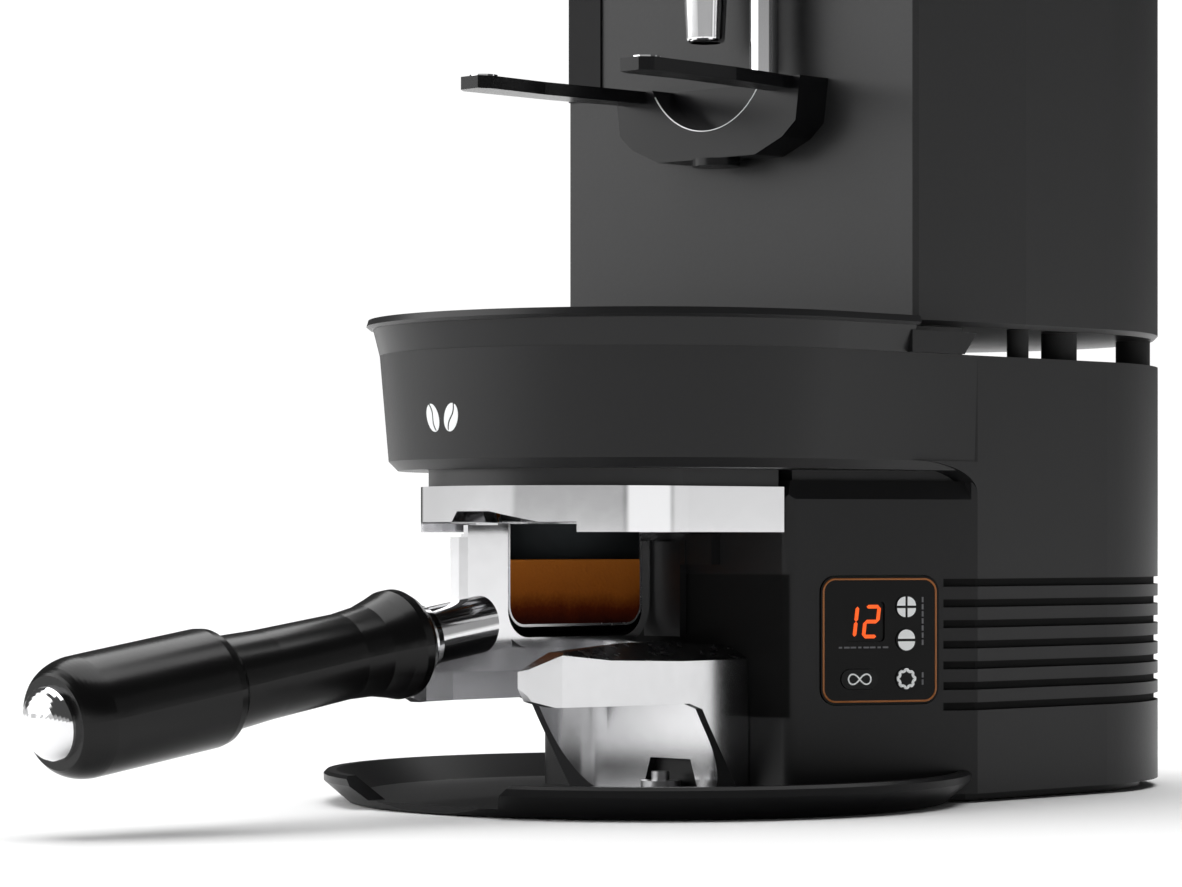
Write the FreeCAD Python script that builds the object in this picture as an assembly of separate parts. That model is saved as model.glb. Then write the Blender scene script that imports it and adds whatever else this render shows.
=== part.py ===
"""An automatic coffee tamper with an on-demand grinder standing on it.

Frame: millimetres, +Z up. The origin is on the counter, below the tamping axis.
+X is the control-panel side, -Y is the handle side (front), +Y is the back.
"""
import FreeCAD, Part
import math
import os

os.makedirs("parts", exist_ok=True)

# ---------------------------------------------------------------- driving sizes
# clearances
run_gap = 0.3            # between curved faces of different bodies
fit_gap = 0.05           # radial clearance of a running fit
seat_gap = 0.3           # a removable piece beside its seat

# tamper casing
case_half = 84.7         # half width of the casing
case_front = 40.0        # front face of the column
front_half = 56.0        # half width of the column's front face
slant_end = 100.0        # where the slanted faces meet the sides
rear_centre = 168.5      # centre of the round back
head_centre = 29.0       # centre of the round head
case_bottom = 3.0
case_top = 145.5
wall = 3.0
head_under = 111.0       # lower edge of the head's side
head_taper = 2.9         # the head is this much smaller at its lower edge
head_chamfer = 3.0
shoulder_top = 104.6     # top of the column's shoulder, under the head
shoulder_drop = 6.0
shoulder_inset = 3.0
groove_count = 7
groove_low = 31.4
groove_pitch = 6.7
groove_width = 2.6
groove_depth = 1.4
groove_start = 89.0

# base plate
dish_centre = 33.0
dish_bottom_r = 98.0
dish_rim_r = 106.0
dish_bevel_z = 7.4
dish_rim_z = 10.6
dish_floor = 3.0
dish_wall = 4.0
plate_bottom = 0.5
mouth_angle = 17.5       # half angle of the low mouth at the front
foot_r = 9.0

# collecting tray
tray_centre = 30.0
tray_low_r = 85.5
tray_high_r = 87.6
tray_lip_r = 89.8
tray_lip_z = 154.0
tray_top = 157.0
tray_wall = 2.5
tray_back = 66.0
ear_end = 96.0
ear_inner = 82.4
ear_top = 152.5

# guide ring and neck
ring_r = 50.0
ring_back = 39.7
ring_flare = 4.5         # the ring's sides open out by this much at the back
ring_low = 88.0
ring_top = 102.5
neck_r = 47.5
arch_top = 94.5
ramp_low = 90.8
arch_half = 10.4
arch_foot = 28.0

# portafilter stand
arm_top = 53.5
arm_side_top = 46.5
arm_front = -52.0
arm_low = 33.5           # lowest line of the arms' skirts
arm_under = 43.0         # underside of the arms' top plates
stand_half = 39.0
skirt = 3.0              # thickness of the skirts and legs
arm_inner = 26.0
leg_foot_y = 36.0
screw_x = 7.0            # clamping screw and the opening in front of it
screw_y = 32.0

# portafilter
rim_r = 35.0
bowl_r = 34.2
rim_z = 90.8
rim_height = 5.0
lever_top = 85.3
lever_low = 54.0
bowl_wall = 2.6
bowl_bottom = 51.0
bowl_round = 14.0
basket_r = 29.5
basket_wall = 0.8
basket_floor = 58.6
puck_top = 79.2
handle_slope = 8.7       # degrees, falling towards the front
collar_y = -68.0
collar_z = 55.0
neck_tube_r = 9.0
grip_length = 152.0
gusset_back = 48.0       # cut face of the neck's gusset, forward of the axis
gusset_low = 62.0
grip_ring_r = 17.0
grip_front_r = 13.3
grip_rear_r = 18.0
cap_r = 11.0

# tamping drive
piston_r = basket_r - 0.5
piston_height = 10.0
rod_r = 7.0
rod_flat = 5.6
piston_rest = 91.6       # underside of the retracted piston
gear_module = 1.0
nut_teeth = 52
idler_teeth = 48
pinion_teeth = 20
gear_low = 116.0
gear_height = 8.0

# control panel, on the slanted face: places run along the face and up
panel_along = 31.7
panel_up = 53.2
panel_size = 41.2
panel_corner = 5.0
panel_thick = 2.0
panel_proud = 0.5
button_along = 40.8
button_r = 3.6
plus_up = 63.9
minus_up = 53.2
gear_up = 40.7
loop_along = 24.4
loop_half = 3.2
display_along = 26.4
display_up = 59.2
display_wide = 14.0
display_high = 13.0
button_proud = 0.5

# grinder tower
tower_front = 75.2
tower_front_half = 79.5
tower_low = 155.0
tower_high = 392.0
plinth_inset = 7.0
plinth_reach = 179.0     # the plinth's back corner: its back edges run at half a right angle
gap_foot_y = 129.0       # the foot that shows in the open gap
tower_wall = 3.0
fork_z = 235.0
fork_half = 43.5         # outside of the prongs
prong_length = 88.0
prong_wide = 13.0
prong_thick = 4.2
spout_y = 61.0
spout_low = 251.0
spout_r = 6.5
spout_wall = 1.5
channel_half = 12.0      # grounds channel, tower side of the spout
channel_low = 276.0
channel_high = 304.0
fork_depth = 22.5        # the fork block below the prongs' middle
trough_low = 13.3        # trough's lowest line below the prongs' middle
trough_r = 27.6
post_x = 23.5
post_r = 4.8
rail_low = 242.0         # dark rail between spout and post
rail_high = 330.0
knob_r = 8.0
knob_high = 2.4
hopper_low = tower_high + 10
hopper_high = hopper_low + 138
hopper_low_r = 44.0
hopper_high_r = 72.0
burr_y = 150.0


# ---------------------------------------------------------------- helpers
def vec(x, y, z=0.0):
    return FreeCAD.Vector(x, y, z)


def box(x0, x1, y0, y1, z0, z1):
    return Part.makeBox(x1 - x0, y1 - y0, z1 - z0, vec(x0, y0, z0))


def cylinder(x, y, z0, z1, r):
    return Part.makeCylinder(r, z1 - z0, vec(x, y, z0))


def tube(x, y, z0, z1, r_out, r_in):
    return cylinder(x, y, z0, z1, r_out).cut(cylinder(x, y, z0 - 1, z1 + 1, r_in))


def rod_between(a, b, r):
    """A round rod from point a to point b."""
    return Part.makeCylinder(r, (b - a).Length, a, b - a)


def polygon(points):
    return Part.Face(Part.makePolygon(list(points) + [points[0]]))


def prism(points, z0, z1):
    """A straight prism over (x, y) points."""
    return polygon([vec(x, y, z0) for x, y in points]).extrude(vec(0, 0, z1 - z0))


def side_prism(points, x0, x1):
    """A prism along X over (y, z) points."""
    return polygon([vec(x0, y, z) for y, z in points]).extrude(vec(x1 - x0, 0, 0))


def revolve(points, base, direction, side):
    """A solid of revolution: points are (radius, height) along direction from base."""
    corners = [base + side * r + direction * h for r, h in points]
    return polygon(corners).revolve(base, direction, 360)


def round_z(points, x, y):
    """A solid of revolution about a vertical axis."""
    return revolve(points, vec(x, y, 0), vec(0, 0, 1), vec(1, 0, 0))


def arc_points(cx, cy, r, start, end, count):
    """Points on an arc, in degrees."""
    steps = [math.radians(start + (end - start) * i / count) for i in range(count + 1)]
    return [(cx + r * math.cos(a), cy + r * math.sin(a)) for a in steps]


def fuse(shapes):
    return shapes[0].multiFuse(shapes[1:]).removeSplitter()


def mirror_x(shape):
    return shape.mirror(vec(0, 0, 0), vec(1, 0, 0))


def both_sides(shape):
    return [shape, mirror_x(shape)]


def save(name, solids):
    if not isinstance(solids, list):
        solids = [solids]
    single = []
    for shape in solids:
        single += shape.Solids
    Part.makeCompound(single).exportStep("parts/" + name + ".step")
    print(name, len(single), "solids", round(sum(s.Volume for s in single)), "mm3",
          all(s.isValid() for s in single))


# ---------------------------------------------------------------- outlines
def column_corners(inset):
    """The near side's three corners of the column's plan, moved in by inset."""
    run = vec(case_half - front_half, slant_end - case_front)
    length = run.Length
    inward = vec(-run.y / length, run.x / length)
    start = vec(front_half, case_front) + inward * inset
    front_y = case_front + inset
    side_x = case_half - inset
    front_x = start.x + (front_y - start.y) * run.x / run.y
    side_y = start.y + (side_x - start.x) * run.y / run.x
    return (front_x, front_y), (side_x, side_y)


def column_face(inset, z):
    """Column and round back in plan: flat front, slanted faces, sides, half round."""
    (fx, fy), (sx, sy) = column_corners(inset)
    radius = case_half - inset
    points = [vec(-fx, fy, z), vec(fx, fy, z), vec(sx, sy, z), vec(radius, rear_centre, z)]
    edges = [Part.makeLine(points[i], points[i + 1]) for i in range(3)]
    edges.append(Part.Arc(points[3], vec(0, rear_centre + radius, z),
                          vec(-radius, rear_centre, z)).toShape())
    edges.append(Part.makeLine(vec(-radius, rear_centre, z), vec(-sx, sy, z)))
    edges.append(Part.makeLine(vec(-sx, sy, z), vec(-fx, fy, z)))
    return Part.Wire(edges)


def column_prism(inset, z0, z1):
    return Part.Face(column_face(inset, z0)).extrude(vec(0, 0, z1 - z0))


def round_front(centre, radius, back_half, back_y, z):
    """A D in plan: half round at the front, straight sides to back_y."""
    left = vec(-radius, centre, z)
    right = vec(radius, centre, z)
    edges = [Part.Arc(left, vec(0, centre - radius, z), right).toShape(),
             Part.makeLine(right, vec(back_half, back_y, z)),
             Part.makeLine(vec(back_half, back_y, z), vec(-back_half, back_y, z)),
             Part.makeLine(vec(-back_half, back_y, z), left)]
    return Part.Wire(edges)


def loft(low, high):
    return Part.makeLoft([low, high], True, True)


def slant_frame():
    """Origin, along, and outward directions of the near slanted face."""
    start = vec(front_half, case_front)
    along = vec(case_half - front_half, slant_end - case_front)
    along.normalize()
    return start, along, vec(along.y, -along.x)


def on_slant(along, up, out):
    start, run, normal = slant_frame()
    return start + run * along + normal * out + vec(0, 0, up)


def slant_block(along, up, wide, high, corner, out0, out1):
    """A plate with round corners on the slanted face, from depth out0 to out1."""
    normal = slant_frame()[2]
    half_w = wide / 2
    half_h = high / 2
    centres = [(half_w - corner, half_h - corner), (corner - half_w, half_h - corner),
               (corner - half_w, corner - half_h), (half_w - corner, corner - half_h)]
    points = []
    for turn, (cx, cy) in enumerate(centres):
        points += arc_points(cx, cy, corner, 90 * turn, 90 * turn + 90, 6)
    corners = [on_slant(along + x, up + y, out0) for x, y in points]
    return polygon(corners).extrude(normal * (out1 - out0))


def slant_disc(along, up, r, out0, out1):
    normal = slant_frame()[2]
    return Part.makeCylinder(r, out1 - out0, on_slant(along, up, out0), normal)


# ---------------------------------------------------------------- tamper casing
def rear_limit(y):
    return box(-200, 200, y, 400, -10, 600)


def head_shape(inset):
    """The round head, tapered a little towards its lower edge."""
    back = slant_end + 12
    side = case_half - inset
    low = round_front(head_centre, side - head_taper, side, back, head_under)
    top_z = case_top - inset
    high = round_front(head_centre, side, side, back, top_z)
    under = round_front(head_centre, side - head_taper - head_chamfer, side, back,
                        head_under - head_chamfer + inset)
    if inset > 0:
        return loft(under, high)
    return fuse([loft(low, high), loft(under, low)])


def shoulder_shape(inset):
    """The column below the head, with its chamfered shoulder."""
    block = column_prism(inset, case_bottom, shoulder_top - shoulder_drop)
    cap = loft(column_face(inset, shoulder_top - shoulder_drop),
               column_face(inset + shoulder_inset, shoulder_top))
    neck = column_prism(inset + 2 * shoulder_inset, shoulder_top - 1, head_under + 1)
    return [block, cap, neck]


def corner_filler():
    """The curve by which the head's lower edge turns down into the side wall."""
    low = shoulder_top - 4
    start = slant_end - 30
    block = box(-case_half, case_half, start, slant_end, low, head_under)
    ellipse = Part.Ellipse(vec(0, 0, 0), slant_end - start, head_under - low)
    disc = Part.Face(Part.Wire(ellipse.toShape())).extrude(vec(0, 0, 2 * case_half + 2))
    turn = FreeCAD.Matrix(0, 0, 1, -case_half - 1,
                          1, 0, 0, start,
                          0, 1, 0, low,
                          0, 0, 0, 1)
    disc.transformShape(turn)
    return block.cut(disc)


def rear_shape(inset):
    """The round-backed part of the casing, from the slanted faces rearwards."""
    full = column_prism(inset, case_bottom, case_top - inset)
    return full.common(rear_limit(slant_end - 2 + inset))


def grooves():
    """Grip-like grooves that wrap the back, from one slanted face to the other."""
    cuts = []
    for i in range(groove_count):
        low = groove_low + i * groove_pitch - groove_width / 2
        outer = column_prism(-2, low, low + groove_width)
        inner = column_prism(groove_depth, low - 1, low + groove_width + 1)
        band = outer.cut(inner).common(rear_limit(groove_start))
        cuts.append(band)
    return cuts


def housing():
    outer = fuse([rear_shape(0), head_shape(0)] + shoulder_shape(0) + [corner_filler()])
    column_edges = []
    for edge in outer.Edges:
        box_of = edge.BoundBox
        tall = box_of.ZLength > 60 and box_of.YLength < 1
        if tall and abs(box_of.YMin - case_front) < 0.5:
            column_edges.append(edge)
    outer = outer.makeFillet(5.0, column_edges)
    rounded_top = []
    for edge in outer.Edges:
        box_of = edge.BoundBox
        if box_of.ZMin > case_top - 0.01 and box_of.YMax > slant_end + 2:
            rounded_top.append(edge)
    cavity_low = column_prism(wall, case_bottom + wall, head_under + 1)
    cavity_rear = rear_shape(wall)
    cavity = fuse([cavity_rear, head_shape(wall), cavity_low.common(
        box(-200, 200, 0, slant_end + 5, case_bottom + wall, shoulder_top - shoulder_drop)),
        column_prism(wall + 2 * shoulder_inset, shoulder_top - shoulder_drop - 2,
                     head_under + 2)])
    cavity = cavity.common(box(-200, 200, -200, 400, case_bottom + wall, case_top - wall))
    shell = outer.cut(cavity)
    for cut in grooves():
        shell = shell.cut(cut)
    shell = shell.cut(cylinder(0, 0, head_under - 10, gear_low, neck_bore_r()))
    shell = shell.cut(column_prism(wall + 3, case_bottom - 1, case_bottom + wall + 1))
    window = slant_block(panel_along, panel_up, panel_size + 2 * seat_gap,
                         panel_size + 2 * seat_gap, panel_corner + seat_gap,
                         -wall - 2, 1)
    shell = shell.cut(window)
    shell = shell.cut(inlet_block(seat_gap))
    shell = shell.cut(switch_block(seat_gap))
    shell = shell.cut(cylinder(0, rear_centre, case_top - 10, case_top + 1, 15))
    return shell


def neck_bore_r():
    return neck_r - 8


def base_plate():
    """A round dish in front with a low mouth, and a flat plate under the casing."""
    dish = round_z([(0, plate_bottom), (dish_bottom_r, plate_bottom),
                    (dish_rim_r, dish_bevel_z), (dish_rim_r, dish_rim_z - 1),
                    (dish_rim_r - 1, dish_rim_z), (0, dish_rim_z)], 0, dish_centre)
    hollow = round_z([(0, dish_floor), (dish_bottom_r - dish_wall, dish_floor),
                      (dish_rim_r - dish_wall, dish_rim_z + 0.1), (0, dish_rim_z + 0.1)],
                     0, dish_centre)
    dish = dish.cut(hollow)
    reach = dish_rim_r + 20
    low_x = dish_bottom_r * math.sin(math.radians(mouth_angle))
    high_x = low_x + 9.0
    mouth = polygon([vec(-low_x, 0, dish_floor), vec(low_x, 0, dish_floor),
                     vec(high_x, 0, dish_rim_z + 1), vec(-high_x, 0, dish_rim_z + 1)])
    dish = dish.cut(mouth.extrude(vec(0, -reach, 0)))
    dish = dish.cut(box(-low_x, low_x, -reach, dish_centre - dish_bottom_r,
                        0, dish_floor + 1))
    rear = column_prism(wall + 3 + seat_gap, plate_bottom, case_bottom + 2)
    dish = dish.cut(column_prism(-seat_gap, case_bottom, dish_rim_z + 5))
    plate = fuse([dish, rear])
    for x, y in foot_places():
        plate = plate.cut(cylinder(x, y, 0, plate_bottom + 1.5, foot_r))
    return plate


def foot_places():
    side = 56
    return [(0, 0), (-side, dish_centre), (side, dish_centre),
            (-side, rear_centre), (side, rear_centre)]


def rubber_feet():
    return [cylinder(x, y, 0, plate_bottom + 1.5, foot_r) for x, y in foot_places()]


def tray():
    """The collecting tray on the head: round front, straight back, two side ears."""
    def outline(r, z):
        return round_front(tray_centre, r, r, tray_back, z)
    outer = fuse([loft(outline(tray_low_r, case_top), outline(tray_high_r, tray_lip_z)),
                  loft(outline(tray_lip_r - 1.2, tray_lip_z), outline(tray_lip_r, tray_lip_z + 1)),
                  loft(outline(tray_lip_r, tray_lip_z + 1), outline(tray_lip_r - 0.6, tray_top))])
    inner = loft(round_front(tray_centre, tray_low_r - tray_wall, tray_low_r - tray_wall,
                             tray_back - tray_wall, case_top + tray_wall),
                 round_front(tray_centre, tray_high_r - tray_wall + 1, tray_high_r - tray_wall + 1,
                             tray_back - tray_wall, tray_top + 0.1))
    outer = outer.cut(inner)
    ear_points = [(tray_back - 2, case_top), (ear_end - 6, case_top), (ear_end, ear_top),
                  (tray_back - 2, ear_top)]
    ear = side_prism(ear_points, ear_inner, tray_high_r)
    return fuse([outer] + both_sides(ear))


def neck_ring():
    outline = round_front(0, neck_r, neck_r + ring_flare, ring_back, ring_top)
    plate = Part.Face(outline).extrude(vec(0, 0, head_under - head_chamfer - ring_top))
    return plate.cut(cylinder(0, 0, 0, 200, piston_r + run_gap))


def guide_ring():
    """The bright ring: a slot for the portafilter's rim, and an arch at its front."""
    outline = round_front(0, ring_r, ring_r + ring_flare, ring_back, ring_low)
    plate = Part.Face(outline).extrude(vec(0, 0, ring_top - ring_low))
    slot_r = rim_r + 0.5
    slot_top = rim_z + 0.4
    slot = cylinder(0, 0, ring_low - 1, slot_top, slot_r)
    slot = slot.fuse(box(-slot_r, slot_r, -ring_r - 5, 0, ring_low - 1, slot_top))
    plate = plate.cut(slot)
    arch = [(-slot_r, ring_low - 1), (slot_r, ring_low - 1), (slot_r, ramp_low),
            (arch_foot, ramp_low), (arch_half, arch_top), (-3, arch_top), (-6, ramp_low),
            (-slot_r, ramp_low)]
    cutter = polygon([vec(x, -ring_r - 5, z) for x, z in arch])
    plate = plate.cut(cutter.extrude(vec(0, ring_r + 5 - piston_r, 0)))
    plate = plate.cut(cylinder(0, 0, 0, 200, piston_r + run_gap))
    return plate


def rear_stop():
    """The L bracket behind the portafilter, on the column's face."""
    bar = box(14, 26, case_front - 4, case_front, 77.5, 87.4)
    lugs = [box(-6, -4, case_front - 4.8, case_front, 77.5, lever_top),
            box(12.8, 14.8, case_front - 4.8, case_front, 77.5, lever_top)]
    lug_bore = rod_between(vec(-10, case_front - 3, 82.5), vec(20, case_front - 3, 82.5), 1.0)
    pin = rod_between(vec(-6, case_front - 3, 82.5), vec(14.8, case_front - 3, 82.5),
                      1.0 - fit_gap)
    return [fuse([bar] + lugs).cut(lug_bore)], pin


def sensor_lever():
    plate = side_prism([(case_front - 4.6, lever_top - 0.3), (case_front - 1.3, lever_top - 0.3),
                        (case_front - 1.6, lever_low), (case_front - 4.6, lever_low)],
                       -3.7, 12.5)
    bore = rod_between(vec(-10, case_front - 3, 82.5), vec(20, case_front - 3, 82.5), 1.0)
    return plate.cut(bore)


# ---------------------------------------------------------------- stand and bowl outline
def bowl_profile(grow):
    """Outside of the portafilter's bowl, as (radius, height), grown by grow."""
    r = bowl_r + grow
    low = bowl_bottom - grow
    arc = arc_points(r - bowl_round - grow, low + bowl_round + grow, bowl_round + grow,
                     -90, 0, 10)
    return [(0, low)] + arc + [(r, rim_z - rim_height), (rim_r + grow, rim_z - rim_height),
                               (rim_r + grow, rim_z + grow), (0, rim_z + grow)]


def stand_plan(half, front, back):
    """Horseshoe outline of the stand: arms closing a little towards their tips."""
    tip = half - 9
    return [(-half, back), (-half, 8), (-half + 1.5, -22), (-half + 5, front + 12),
            (-tip + 1, front + 2), (-tip + 5, front), (tip - 5, front), (tip - 1, front + 2),
            (half - 5, front + 12), (half - 1.5, -22), (half, 8), (half, back)]


def support_bracket():
    """Two skirted arms under the bowl, on one raked leg, polished all over."""
    back = case_front - seat_gap
    profile = [(arm_front, arm_top - 9), (arm_front, arm_low + 7), (arm_front + 3, arm_low + 2),
               (arm_front + 10, arm_low), (12, arm_low), (18, arm_low - 2), (21, arm_low - 7),
               (leg_foot_y, dish_floor), (back, dish_floor), (back, arm_top - 2),
               (25, arm_top - 1), (0, arm_top), (arm_front + 14, arm_top - 3)]
    block = side_prism(profile, -stand_half, stand_half)
    block = block.common(prism(stand_plan(stand_half, arm_front, back), 0, 100))
    block = block.cut(box(-arm_inner, arm_inner, -100, 8, 0, 100))
    block = block.cut(cylinder(0, 8, arm_under, 100, arm_inner))
    inside = stand_half - skirt
    hollow = prism(stand_plan(inside, arm_front + skirt, back - skirt), 0, arm_under)
    upright = [e for e in hollow.Edges if e.BoundBox.ZLength > 1
               and e.BoundBox.YMin > back - skirt - 0.1]
    block = block.cut(hollow.makeFillet(14, upright))
    trough = [vec(x, 0, z) for x, z in bowl_profile(run_gap)]
    trough += [vec(-x, 0, z) for x, z in reversed(bowl_profile(run_gap)[1:-1])]
    sweep = polygon(trough).extrude(vec(0, -160, 0))
    block = block.cut(sweep).cut(round_z(bowl_profile(run_gap), 0, 0))
    block = block.cut(mouse_hole())
    bevel = polygon([vec(stand_half + 1, 0, arm_side_top), vec(stand_half + 1, 0, arm_top + 9),
                     vec(arm_inner, 0, arm_top + 9), vec(arm_inner, 0, arm_top + 0.5)])
    for wedge in both_sides(bevel.extrude(vec(0, 140, 0))):
        wedge.translate(vec(0, -100, 0))
        block = block.cut(wedge)
    return block


def mouse_hole():
    """The opening low in the leg, in front of the clamping screw."""
    points = [vec(screw_x - 13, 0, dish_floor - 1), vec(screw_x + 13, 0, dish_floor - 1),
              vec(screw_x + 9, 0, 14), vec(screw_x - 9, 0, 14)]
    return polygon(points).extrude(vec(0, 60, 0))


def bracket_screw():
    head = cylinder(screw_x, screw_y, dish_floor, dish_floor + 4, 6.5)
    return head.fuse(cylinder(screw_x, screw_y, dish_floor + 4, dish_floor + 7, 3))


# ---------------------------------------------------------------- portafilter
def near_half():
    return box(0, 300, -300, 300, -10, 300)


def bowl():
    outer = round_z(bowl_profile(0), 0, 0)
    seat = basket_r + basket_wall + 0.2
    low = basket_floor - basket_wall - 0.4
    inner = [(0, low - 3)] + arc_points(seat - 9, low + 6, 9, -90, 0, 8) + [
        (seat, rim_z + 1), (0, rim_z + 1)]
    shell = outer.cut(round_z(inner, 0, 0))
    shell = shell.cut(near_half())
    plate_top = rim_z - 0.6
    gusset = side_prism([(-bowl_r + 2, plate_top), (-gusset_back, plate_top),
                         (-gusset_back, gusset_low + 2), (-bowl_r - 8, 50),
                         (-bowl_r + 4, 53)], -2, 0)
    boss = prism([(0, -bowl_r + 2), (0, -gusset_back), (-2, -gusset_back - 2),
                  (-6, -gusset_back - 2), (-8, -gusset_back + 2), (-8, -bowl_r + 2)],
                 gusset_low, rim_z - rim_height + 0.6)
    tube_neck = rod_between(handle_point(-30), handle_point(collar_y), neck_tube_r)
    tube_neck = tube_neck.cut(box(0, 60, -gusset_back + 5, 0, 0, 100))
    lug = box(-bowl_r - 8, -bowl_r + 2, -11, 11, 82, 87.4)
    body = fuse([shell, gusset, boss, tube_neck, lug])
    body = body.cut(tie_rod_shape(fit_gap))
    return body.cut(round_z(inner, 0, 0))


def basket():
    r = basket_r + basket_wall
    cup = cylinder(0, 0, basket_floor - basket_wall, rim_z, r)
    bottom = [e for e in cup.Edges if e.BoundBox.ZMax < basket_floor]
    cup = cup.makeFillet(7.0, [e for e in bottom if e.BoundBox.XLength > r])
    hollow = cylinder(0, 0, basket_floor, rim_z + 1, basket_r)
    hollow = hollow.makeFillet(6.2, [e for e in hollow.Edges
                                     if e.BoundBox.ZMax < basket_floor + 0.5
                                     and e.BoundBox.XLength > r])
    return cup.cut(hollow).cut(near_half())


def puck():
    body = cylinder(0, 0, basket_floor, puck_top, basket_r)
    body = body.makeFillet(6.2, [e for e in body.Edges
                                 if e.BoundBox.ZMax < basket_floor + 0.5
                                 and e.BoundBox.XLength > basket_r])
    return body.cut(near_half())


def handle_direction():
    slope = math.radians(handle_slope)
    return vec(0, -math.cos(slope), -math.sin(slope))


def handle_point(y):
    """The point of the handle's axis at depth y."""
    slope = math.tan(math.radians(handle_slope))
    return vec(0, y, collar_z + (y - collar_y) * slope)


def along_handle(points):
    """A solid of revolution on the handle's axis, from the collar forwards."""
    return revolve(points, handle_point(collar_y), handle_direction(), vec(1, 0, 0))


def ferrule():
    return along_handle([(5, 0), (neck_tube_r + 1.5, 0), (neck_tube_r + 2.5, 3),
                         (neck_tube_r + 2.5, 6), (5, 6)])


def grip():
    end = grip_length
    front = [(5, 6)] + [(grip_ring_r - 5, 6), (grip_ring_r - 1.5, 7.5), (grip_ring_r, 10),
                        (grip_ring_r, 13), (grip_ring_r - 1.2, 17), (grip_front_r + 0.8, 24),
                        (grip_front_r, 34), (grip_front_r + 0.4, 66), (grip_front_r + 1.2, 83),
                        (grip_rear_r - 1.5, 85), (grip_rear_r - 0.4, 86.5),
                        (grip_rear_r, 89), (grip_rear_r, end - 24)]
    dome = arc_points(0, 0, 1, 0, 66, 10)
    tail = [(cap_r + (grip_rear_r - cap_r) * c, end - 18 + 12 * s) for c, s in dome]
    seat = [(cap_r, tail[-1][1]), (cap_r, end - 11), (5, end - 11)]
    return along_handle(front + tail[1:] + seat)


def end_cap():
    end = grip_length
    dome = arc_points(0, 0, 1, 0, 90, 12)
    points = [(cap_r * c, end - 6.5 + 6.5 * s) for c, s in dome]
    return along_handle([(0, end - 11), (cap_r, end - 11)] + points)


def tie_rod_shape(grow):
    """The threaded rod that holds grip and end cap to the neck."""
    end = grip_length - 11.2
    r = 4.8 + grow
    return along_handle([(0, -4), (r, -4), (r, end), (0, end)])


def tie_rod():
    return tie_rod_shape(0)


# ---------------------------------------------------------------- tamping drive
def gear(teeth, x, y, z0, height, bore, half_step):
    """A spur gear with straight-sided teeth, wide gaps so that it runs free."""
    pitch_r = gear_module * teeth / 2
    step = 360.0 / teeth
    tip = pitch_r + 0.85 * gear_module
    root = pitch_r - 1.15 * gear_module
    points = []
    start = 90 + (step / 2 if half_step else 0)
    for i in range(teeth):
        middle = start + i * step
        for r, share in ((root, -0.30), (tip, -0.10), (tip, 0.10), (root, 0.30)):
            angle = math.radians(middle + share * step)
            points.append((x + r * math.cos(angle), y + r * math.sin(angle)))
    return prism(points, z0, z0 + height).cut(cylinder(x, y, z0 - 1, z0 + height + 1, bore))


def gear_places():
    idler_y = gear_module * (nut_teeth + idler_teeth) / 2
    pinion_y = idler_y + gear_module * (idler_teeth + pinion_teeth) / 2
    return idler_y, pinion_y


def drive():
    idler_y, pinion_y = gear_places()
    top = gear_low + gear_height
    nut = gear(nut_teeth, 0, 0, gear_low, gear_height, rod_r + fit_gap, False)
    idler = gear(idler_teeth, 0, idler_y, gear_low, gear_height, 4 + fit_gap, True)
    pinion = gear(pinion_teeth, 0, pinion_y, gear_low, gear_height, 2.9, False)
    shaft = cylinder(0, pinion_y, gear_low - 12, top, 3.0)
    save("nut_gear", nut)
    save("idler_gear", idler)
    save("motor_pinion", pinion.cut(shaft).fuse(shaft))
    head_floor = head_under - head_chamfer + wall
    plate_low = gear_low - 2
    plate = box(-36, 36, -34, pinion_y + 24, plate_low, gear_low - 0.3)
    plate = plate.cut(cylinder(0, 0, 0, 200, rod_r + 0.5))
    plate = plate.cut(cylinder(0, pinion_y, 0, 200, 3.0 + run_gap))
    rails = [box(side * 34 - 2, side * 34 + 2, -20, 20, head_floor, plate_low)
             for side in (-1, 1)]
    axle = cylinder(0, idler_y, gear_low - 0.3, top + 3, 4.0)
    save("idler_axle", axle)
    save("gear_plate", fuse([plate] + rails))
    retainer = box(-34, 34, -12, 12, top + 0.3, top + 3.3)
    retainer = retainer.cut(keyed_rod(fit_gap, top, top + 5))
    posts = [box(-34, -30, -12, 12, gear_low - 0.3, top + 0.3),
             box(30, 34, -12, 12, gear_low - 0.3, top + 0.3)]
    save("nut_retainer", fuse([retainer] + posts))
    motor = cylinder(0, pinion_y, 44, plate_low - 14, 21)
    gearbox = cylinder(0, pinion_y, plate_low - 14, plate_low, 18)
    save("motor", motor)
    save("gearbox", gearbox.cut(cylinder(0, pinion_y, 0, 200, 3.0 + run_gap)))


def piston():
    low = piston_rest
    disc = cylinder(0, 0, low, low + piston_height, piston_r)
    edge = [e for e in disc.Edges if e.BoundBox.ZMax < low + 0.1 and e.BoundBox.XLength > 10]
    return disc.makeFillet(0.8, edge)


def keyed_rod(grow, z0, z1):
    """A round rod with one flat, which keeps it from turning."""
    rod = cylinder(0, 0, z0, z1, rod_r + grow)
    return rod.common(box(-50, rod_flat + grow, -50, 50, z0, z1))


def piston_rod():
    return keyed_rod(0, piston_rest + piston_height, case_top - wall - 1.0)


# ---------------------------------------------------------------- panel and electrics
def panel_openings(grow):
    shapes = [slant_disc(button_along, up, button_r + grow, -20, 20)
              for up in (plus_up, minus_up, gear_up)]
    shapes.append(slant_block(loop_along, gear_up, 4 * loop_half + 2 * grow,
                              2 * loop_half + 2 * grow, loop_half + grow - 0.01, -20, 20))
    return shapes


def panel():
    plate = slant_block(panel_along, panel_up, panel_size, panel_size, panel_corner,
                        panel_proud - panel_thick, panel_proud)
    for opening in panel_openings(0.15):
        plate = plate.cut(opening)
    recess = slant_block(display_along, display_up, display_wide, display_high, 1.5,
                         panel_proud - 0.8, 5)
    return plate.cut(recess)


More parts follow.
